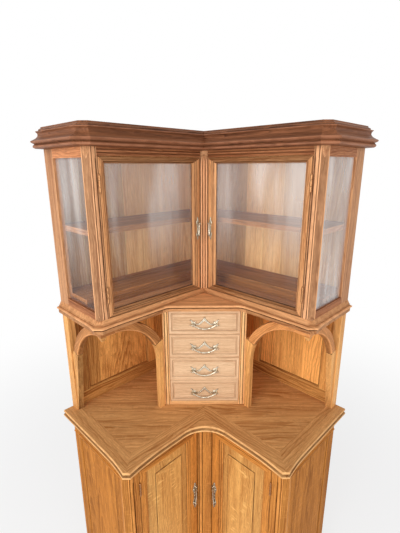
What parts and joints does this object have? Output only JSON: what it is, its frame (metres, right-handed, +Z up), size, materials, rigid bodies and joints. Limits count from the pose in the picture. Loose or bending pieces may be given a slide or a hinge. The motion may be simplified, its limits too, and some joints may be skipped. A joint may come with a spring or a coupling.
{
  "type": "corner cabinet",
  "caption": "Oak corner cabinet: glazed display case over a drawer block between arched niches, moulded counter, cupboard base with raised-panel doors meeting in a V.",
  "frame": {"origin": "centre of the bounding box in plan, on the floor", "axes": "+Z up, front faces -Y, the room corner lies on +Y"},
  "size_m": [1.1484, 0.8902, 1.949],
  "materials": {
    "oak_base": "satin",
    "oak_counter": "satin",
    "oak_block": "satin",
    "oak_drawer": "satin",
    "oak_case": "satin",
    "oak_cornice": "satin",
    "oak_inner": "matt",
    "brass": "antique satin",
    "glass": "clear"
  },
  "bodies": {
    "carcass": {"plinth": "oak_base", "base_bottom": "oak_base", "base_sides": "oak_base", "back_boards": "oak_inner", "base_corner_posts": "oak_base", "base_centre_post": "oak_base", "base_frieze": "oak_base", "counter_border": "oak_counter", "counter_field": "oak_counter", "drawer_case": "oak_block", "drawer_dividers": "oak_block", "block_posts": "oak_block", "outer_posts": "oak_case", "arch_left": "oak_case", "arch_right": "oak_case", "niche_backs": "oak_inner", "case_base": "oak_case", "case_floor": "oak_case", "case_front_posts": "oak_case", "case_centre_post": "oak_case", "case_back_posts": "oak_case", "case_rails": "oak_case", "side_glass": "glass", "shelf": "oak_inner", "display_step": "oak_inner", "top_board": "oak_inner", "cornice": "oak_cornice", "hinge_pins": "brass"},
    "base_door_left": {"base_door_left_frame": "oak_base", "base_door_left_panel": "oak_base", "base_door_left_brass": "brass"},
    "base_door_left_drop_body": {"base_door_left_drop": "brass"},
    "case_door_left": {"case_door_left_frame": "oak_case", "case_door_left_glass": "glass", "case_door_left_brass": "brass"},
    "case_door_left_drop_body": {"case_door_left_drop": "brass"},
    "base_door_right": {"base_door_right_frame": "oak_base", "base_door_right_panel": "oak_base", "base_door_right_brass": "brass"},
    "base_door_right_drop_body": {"base_door_right_drop": "brass"},
    "case_door_right": {"case_door_right_frame": "oak_case", "case_door_right_glass": "glass", "case_door_right_brass": "brass"},
    "case_door_right_drop_body": {"case_door_right_drop": "brass"},
    "drawer_1": {"drawer_1_front": "oak_drawer", "drawer_1_box": "oak_inner", "drawer_1_pull": "brass"},
    "drawer_1_bail_body": {"drawer_1_bail": "brass"},
    "drawer_2": {"drawer_2_front": "oak_drawer", "drawer_2_box": "oak_inner", "drawer_2_pull": "brass"},
    "drawer_2_bail_body": {"drawer_2_bail": "brass"},
    "drawer_3": {"drawer_3_front": "oak_drawer", "drawer_3_box": "oak_inner", "drawer_3_pull": "brass"},
    "drawer_3_bail_body": {"drawer_3_bail": "brass"},
    "drawer_4": {"drawer_4_front": "oak_drawer", "drawer_4_box": "oak_inner", "drawer_4_pull": "brass"},
    "drawer_4_bail_body": {"drawer_4_bail": "brass"}
  },
  "joints": [
    {"name": "base_door_left_hinge", "type": "hinge", "parent": "carcass", "child": "base_door_left", "pos_m": [-0.24112, -0.31785, 0.418], "axis": [0, 0, -1], "range_deg": [0, 95]},
    {"name": "base_door_left_drop_hinge", "type": "hinge", "parent": "base_door_left", "child": "base_door_left_drop_body", "pos_m": [-0.03606, -0.11986, 0.445], "axis": [-0.7071, -0.7071, 0], "range_deg": [0, 60]},
    {"name": "case_door_left_hinge", "type": "hinge", "parent": "carcass", "child": "case_door_left", "pos_m": [-0.31749, -0.26977, 1.593], "axis": [0, 0, -1], "range_deg": [0, 95]},
    {"name": "case_door_left_drop_hinge", "type": "hinge", "parent": "case_door_left", "child": "case_door_left_drop_body", "pos_m": [-0.01909, 0.02156, 1.6065], "axis": [-0.7071, -0.7071, 0], "range_deg": [0, 60]},
    {"name": "base_door_right_hinge", "type": "hinge", "parent": "carcass", "child": "base_door_right", "pos_m": [0.24112, -0.31785, 0.418], "axis": [0, 0, 1], "range_deg": [0, 95]},
    {"name": "base_door_right_drop_hinge", "type": "hinge", "parent": "base_door_right", "child": "base_door_right_drop_body", "pos_m": [0.03606, -0.11986, 0.445], "axis": [-0.7071, 0.7071, 0], "range_deg": [0, 60]},
    {"name": "case_door_right_hinge", "type": "hinge", "parent": "carcass", "child": "case_door_right", "pos_m": [0.31749, -0.26977, 1.593], "axis": [0, 0, 1], "range_deg": [0, 95]},
    {"name": "case_door_right_drop_hinge", "type": "hinge", "parent": "case_door_right", "child": "case_door_right_drop_body", "pos_m": [0.01909, 0.02156, 1.6065], "axis": [-0.7071, 0.7071, 0], "range_deg": [0, 60]},
    {"name": "drawer_1_slide", "type": "slide", "parent": "carcass", "child": "drawer_1", "axis": [0, -1, 0], "range_m": [0, 0.24]},
    {"name": "drawer_1_bail_hinge", "type": "hinge", "parent": "drawer_1", "child": "drawer_1_bail_body", "pos_m": [0, -0.10438, 1.233], "axis": [-1, 0, 0], "range_deg": [0, 75]},
    {"name": "drawer_2_slide", "type": "slide", "parent": "carcass", "child": "drawer_2", "axis": [0, -1, 0], "range_m": [0, 0.24]},
    {"name": "drawer_2_bail_hinge", "type": "hinge", "parent": "drawer_2", "child": "drawer_2_bail_body", "pos_m": [0, -0.10438, 1.131], "axis": [-1, 0, 0], "range_deg": [0, 75]},
    {"name": "drawer_3_slide", "type": "slide", "parent": "carcass", "child": "drawer_3", "axis": [0, -1, 0], "range_m": [0, 0.24]},
    {"name": "drawer_3_bail_hinge", "type": "hinge", "parent": "drawer_3", "child": "drawer_3_bail_body", "pos_m": [0, -0.10438, 1.029], "axis": [-1, 0, 0], "range_deg": [0, 75]},
    {"name": "drawer_4_slide", "type": "slide", "parent": "carcass", "child": "drawer_4", "axis": [0, -1, 0], "range_m": [0, 0.24]},
    {"name": "drawer_4_bail_hinge", "type": "hinge", "parent": "drawer_4", "child": "drawer_4_bail_body", "pos_m": [0, -0.10438, 0.927], "axis": [-1, 0, 0], "range_deg": [0, 75]}
  ]
}
